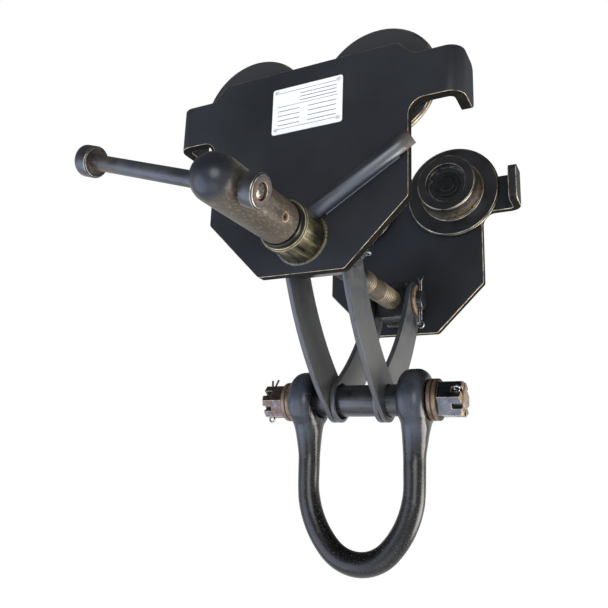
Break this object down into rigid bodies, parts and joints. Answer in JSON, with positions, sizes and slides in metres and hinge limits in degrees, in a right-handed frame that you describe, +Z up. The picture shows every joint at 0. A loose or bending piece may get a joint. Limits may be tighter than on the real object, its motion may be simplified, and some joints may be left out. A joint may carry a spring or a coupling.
{
  "type": "manual beam trolley",
  "caption": "Manual push beam trolley with flanged wheels, an adjusting spindle with tommy bar, curved links and a bow shackle",
  "frame": {"origin": "middle of the beam's lower flange, on the plane that the wheel treads run on, midway between the two side plates at their widest setting", "axes": "+X along the beam, +Y from the handle side to the far side, +Z up"},
  "size_m": [0.2427, 0.3842, 0.413],
  "materials": {
    "black_paint": "gloss black paint",
    "shackle_paint": "gloss black paint on a forging",
    "link_paint": "dark grey paint, satin",
    "wheel_iron": "dark cast iron, worn brown on the tread",
    "worn_steel": "bare turned steel, brownish",
    "dark_steel": "blackened steel",
    "bearing_steel": "ground bearing steel",
    "plated_washer": "yellowed zinc plating",
    "nut_steel": "dull plated steel",
    "bright_zinc": "bright zinc plating",
    "white_plate": "white enamelled sheet"
  },
  "bodies": {
    "front_side": {"front_side_plate": "black_paint", "front_guide_boss": "black_paint", "front_nut_block": "black_paint", "left_stiffening_bar": "black_paint", "right_stiffening_bar": "black_paint", "nameplate": "white_plate", "nameplate_rivets": "bright_zinc", "front_trunnion_cotters": "bright_zinc", "front_trunnion_washers": "plated_washer", "front_left_axle": "dark_steel", "front_left_axle_washer": "dark_steel", "front_left_inner_race": "bearing_steel", "front_right_axle": "dark_steel", "front_right_axle_washer": "dark_steel", "front_right_inner_race": "bearing_steel"},
    "rear_side": {"rear_side_plate": "black_paint", "rear_guide_boss": "black_paint", "rear_nut_block": "black_paint", "rear_trunnion_cotters": "bright_zinc", "rear_trunnion_washers": "plated_washer", "rear_left_axle": "dark_steel", "rear_left_axle_washer": "dark_steel", "rear_left_inner_race": "bearing_steel", "rear_right_axle": "dark_steel", "rear_right_axle_washer": "dark_steel", "rear_right_inner_race": "bearing_steel"},
    "front_left_wheel": {"front_left_wheel": "wheel_iron", "front_left_outer_race": "bearing_steel", "front_left_circlip": "dark_steel"},
    "front_right_wheel": {"front_right_wheel": "wheel_iron", "front_right_outer_race": "bearing_steel", "front_right_circlip": "dark_steel"},
    "rear_left_wheel": {"rear_left_wheel": "wheel_iron", "rear_left_outer_race": "bearing_steel", "rear_left_circlip": "dark_steel"},
    "rear_right_wheel": {"rear_right_wheel": "wheel_iron", "rear_right_outer_race": "bearing_steel", "rear_right_circlip": "dark_steel"},
    "spindle_collar": {"spindle_collar": "dark_steel"},
    "spindle": {"spindle": "worn_steel", "handle_hub": "worn_steel", "hub_pin": "dark_steel"},
    "tommy_bar": {"tommy_bar": "dark_steel", "tommy_bar_caps": "dark_steel"},
    "front_links": {"front_left_link": "link_paint", "front_right_link": "link_paint"},
    "rear_links": {"rear_left_link": "link_paint", "rear_right_link": "link_paint"},
    "shackle_bow": {"shackle_bow": "shackle_paint"},
    "shackle_bolt": {"shackle_bolt": "shackle_paint", "bolt_washers": "plated_washer", "castle_nuts": "nut_steel", "nut_cotters": "bright_zinc"}
  },
  "joints": [
    {"name": "rear_slide", "type": "slide", "parent": "front_side", "child": "rear_side", "axis": [0, -1, 0], "range_m": [0, 0.0901]},
    {"name": "spindle_feed", "type": "slide", "parent": "front_side", "child": "spindle_collar", "axis": [0, -1, 0], "range_m": [0, 0.0451]},
    {"name": "spindle_turn", "type": "hinge", "parent": "spindle_collar", "child": "spindle", "pos_m": [0, -0.1538, -0.088], "axis": [0, -1, 0], "range_deg": [0, 4050]},
    {"name": "tommy_slide", "type": "slide", "parent": "spindle", "child": "tommy_bar", "axis": [0.9511, 0, -0.309], "range_m": [0, 0.097]},
    {"name": "front_left_wheel_turn", "type": "hinge", "parent": "front_side", "child": "front_left_wheel", "pos_m": [-0.0537, -0.094, 0.03], "axis": [0, 1, 0], "continuous": true},
    {"name": "front_right_wheel_turn", "type": "hinge", "parent": "front_side", "child": "front_right_wheel", "pos_m": [0.0537, -0.094, 0.03], "axis": [0, 1, 0], "continuous": true},
    {"name": "rear_left_wheel_turn", "type": "hinge", "parent": "rear_side", "child": "rear_left_wheel", "pos_m": [-0.0537, 0.094, 0.03], "axis": [0, 1, 0], "continuous": true},
    {"name": "rear_right_wheel_turn", "type": "hinge", "parent": "rear_side", "child": "rear_right_wheel", "pos_m": [0.0537, 0.094, 0.03], "axis": [0, 1, 0], "continuous": true},
    {"name": "front_link_swing", "type": "hinge", "parent": "front_side", "child": "front_links", "pos_m": [0, -0.0845, -0.088], "axis": [-1, 0, 0], "range_deg": [0, 22]},
    {"name": "rear_link_swing", "type": "hinge", "parent": "rear_side", "child": "rear_links", "pos_m": [0, 0.0845, -0.088], "axis": [1, 0, 0], "range_deg": [0, 22]},
    {"name": "bolt_level", "type": "hinge", "parent": "front_links", "child": "shackle_bolt", "pos_m": [0, 0, -0.1945], "axis": [1, 0, 0], "range_deg": [0, 22]},
    {"name": "bow_swing", "type": "hinge", "parent": "shackle_bolt", "child": "shackle_bow", "pos_m": [0, 0, -0.1945], "axis": [1, 0, 0], "range_deg": [-90, 90]}
  ],
  "couplings": [
    {"joint": "rear_slide", "follows": "spindle_turn", "m_per_rad": 0.0012732},
    {"joint": "spindle_feed", "follows": "spindle_turn", "m_per_rad": 0.00063662},
    {"joint": "front_link_swing", "follows": "spindle_turn", "ratio": 0.0054044},
    {"joint": "rear_link_swing", "follows": "spindle_turn", "ratio": 0.0054044},
    {"joint": "bolt_level", "follows": "spindle_turn", "ratio": 0.0054044}
  ]
}
